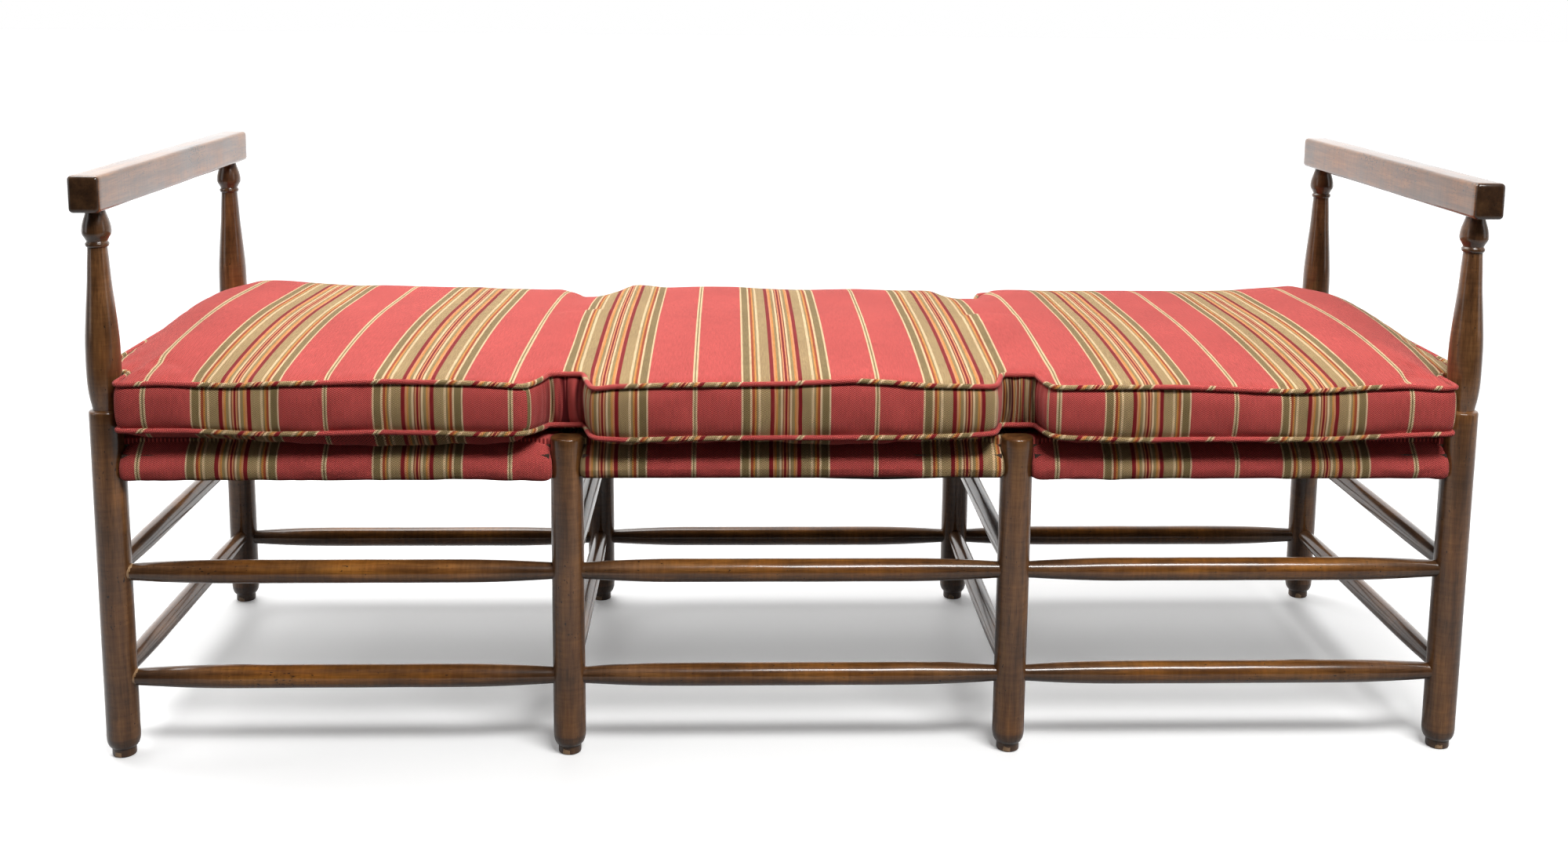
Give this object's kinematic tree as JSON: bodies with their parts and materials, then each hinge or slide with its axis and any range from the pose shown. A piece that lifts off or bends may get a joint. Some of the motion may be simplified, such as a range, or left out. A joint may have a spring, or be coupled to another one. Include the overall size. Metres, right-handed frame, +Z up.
{
  "type": "hall bench",
  "caption": "Long wooden hall bench on turned legs tied by tapered rungs, with low arm rails at its ends, an upholstered deck and a loose striped box cushion",
  "frame": {"origin": "on the floor under the middle of the bench, at the middle of the bounding box's underside", "axes": "+X along the bench to its right end, +Y from front to back, +Z up; the front with the legs seen in the picture faces -Y"},
  "size_m": [1.746, 0.616, 0.746],
  "materials": {
    "dark_walnut_stain": "dark walnut stain under a satin varnish, amber where it is rubbed, worn at the feet",
    "seat_frame_wood": "planed bare hardwood, hidden inside the cover",
    "plywood": "plain plywood",
    "striped_fabric": "matt woven herringbone in red with olive, cream, taupe, orange and rust stripes",
    "dust_cloth": "thin matt black cambric"
  },
  "bodies": {
    "frame": {"post_front_left": "dark_walnut_stain", "post_back_left": "dark_walnut_stain", "mid_leg_front_1": "dark_walnut_stain", "mid_leg_back_1": "dark_walnut_stain", "mid_leg_front_2": "dark_walnut_stain", "mid_leg_back_2": "dark_walnut_stain", "post_front_right": "dark_walnut_stain", "post_back_right": "dark_walnut_stain", "long_rung_front_low_1": "dark_walnut_stain", "long_rung_front_low_2": "dark_walnut_stain", "long_rung_front_low_3": "dark_walnut_stain", "long_rung_back_low_1": "dark_walnut_stain", "long_rung_back_low_2": "dark_walnut_stain", "long_rung_back_low_3": "dark_walnut_stain", "cross_rung_low_1": "dark_walnut_stain", "cross_rung_low_2": "dark_walnut_stain", "cross_rung_low_3": "dark_walnut_stain", "cross_rung_low_4": "dark_walnut_stain", "long_rung_front_high_1": "dark_walnut_stain", "long_rung_front_high_2": "dark_walnut_stain", "long_rung_front_high_3": "dark_walnut_stain", "long_rung_back_high_1": "dark_walnut_stain", "long_rung_back_high_2": "dark_walnut_stain", "long_rung_back_high_3": "dark_walnut_stain", "cross_rung_high_1": "dark_walnut_stain", "cross_rung_high_2": "dark_walnut_stain", "cross_rung_high_3": "dark_walnut_stain", "cross_rung_high_4": "dark_walnut_stain", "seat_rail_front_1": "seat_frame_wood", "seat_rail_front_2": "seat_frame_wood", "seat_rail_front_3": "seat_frame_wood", "seat_rail_back_1": "seat_frame_wood", "seat_rail_back_2": "seat_frame_wood", "seat_rail_back_3": "seat_frame_wood", "seat_cross_rail_1": "seat_frame_wood", "seat_cross_rail_2": "seat_frame_wood", "seat_cross_rail_3": "seat_frame_wood", "seat_cross_rail_4": "seat_frame_wood", "seat_board_1": "plywood", "deck_pad_1": "striped_fabric", "dust_cover_1": "dust_cloth", "edge_roll_front_1": "striped_fabric", "edge_roll_back_1": "striped_fabric", "seat_board_2": "plywood", "deck_pad_2": "striped_fabric", "dust_cover_2": "dust_cloth", "edge_roll_front_2": "striped_fabric", "edge_roll_back_2": "striped_fabric", "seat_board_3": "plywood", "deck_pad_3": "striped_fabric", "dust_cover_3": "dust_cloth", "edge_roll_front_3": "striped_fabric", "edge_roll_back_3": "striped_fabric", "edge_roll_left": "striped_fabric", "edge_roll_right": "striped_fabric", "arm_rail_left": "dark_walnut_stain", "arm_rail_right": "dark_walnut_stain"},
    "cushion": {"cushion": "striped_fabric"}
  },
  "joints": [
    {"name": "cushion_lift", "type": "slide", "parent": "frame", "child": "cushion", "axis": [0, 0, 1], "range_m": [0, 0.16]}
  ]
}
